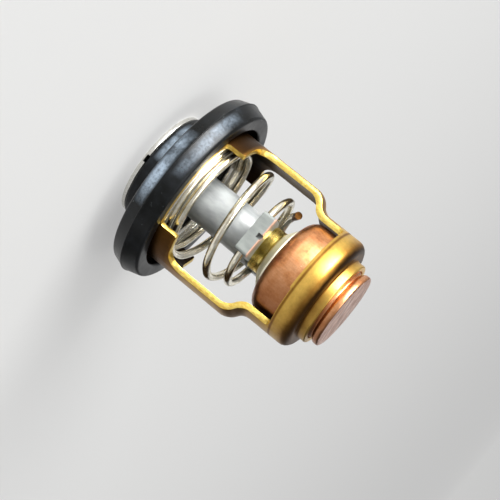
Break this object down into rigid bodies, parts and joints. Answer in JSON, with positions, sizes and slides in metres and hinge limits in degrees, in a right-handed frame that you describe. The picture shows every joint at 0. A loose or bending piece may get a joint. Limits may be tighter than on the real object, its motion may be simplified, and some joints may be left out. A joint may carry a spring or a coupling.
{
  "type": "engine thermostat",
  "caption": "Inverted wax thermostat with rubber flange gasket, brass cage and copper wax element; the valve plate lifts off its seat against a tapered spring.",
  "frame": {"origin": "on the axis at the outer face of the valve plate, the lowest point of the part", "axes": "+Z along the axis from the valve plate to the wax element, +X through one cage leg, -Y through one flow window"},
  "size_m": [0.036, 0.036, 0.0412],
  "materials": {
    "cage_brass": "drawn brass sheet with a light tarnish",
    "gasket_rubber": "dusty black moulded rubber",
    "ring_steel": "pressed stainless steel",
    "case_copper": "spun copper with a light tarnish",
    "guide_brass": "turned brass",
    "disc_plastic": "white backing disc",
    "plug_rubber": "black rubber",
    "diaphragm_rubber": "black rubber",
    "wax": "copper-filled wax",
    "spring_steel": "drawn stainless spring wire",
    "plate_steel": "pressed stainless steel",
    "clip_steel": "spring steel",
    "stem_plastic": "light grey moulded plastic",
    "retainer_plastic": "light grey moulded plastic",
    "piston_steel": "ground steel"
  },
  "bodies": {
    "frame_body": {"frame_cage": "cage_brass", "flange_gasket": "gasket_rubber", "seat_ring": "ring_steel", "element_case": "case_copper", "element_guide": "guide_brass", "backup_disc": "disc_plastic", "rubber_plug": "plug_rubber", "diaphragm": "diaphragm_rubber", "wax_charge": "wax", "closing_spring": "spring_steel"},
    "valve_body": {"valve_plate": "plate_steel", "plate_clip": "clip_steel", "valve_stem": "stem_plastic", "spring_retainer": "retainer_plastic", "piston": "piston_steel"}
  },
  "joints": [
    {"name": "valve_lift", "type": "slide", "parent": "frame_body", "child": "valve_body", "axis": [0, 0, -1], "range_m": [0, 0.0045], "stiffness_N_per_m": 1800, "springref_m": -0.004, "deforming": ["closing_spring"]}
  ]
}
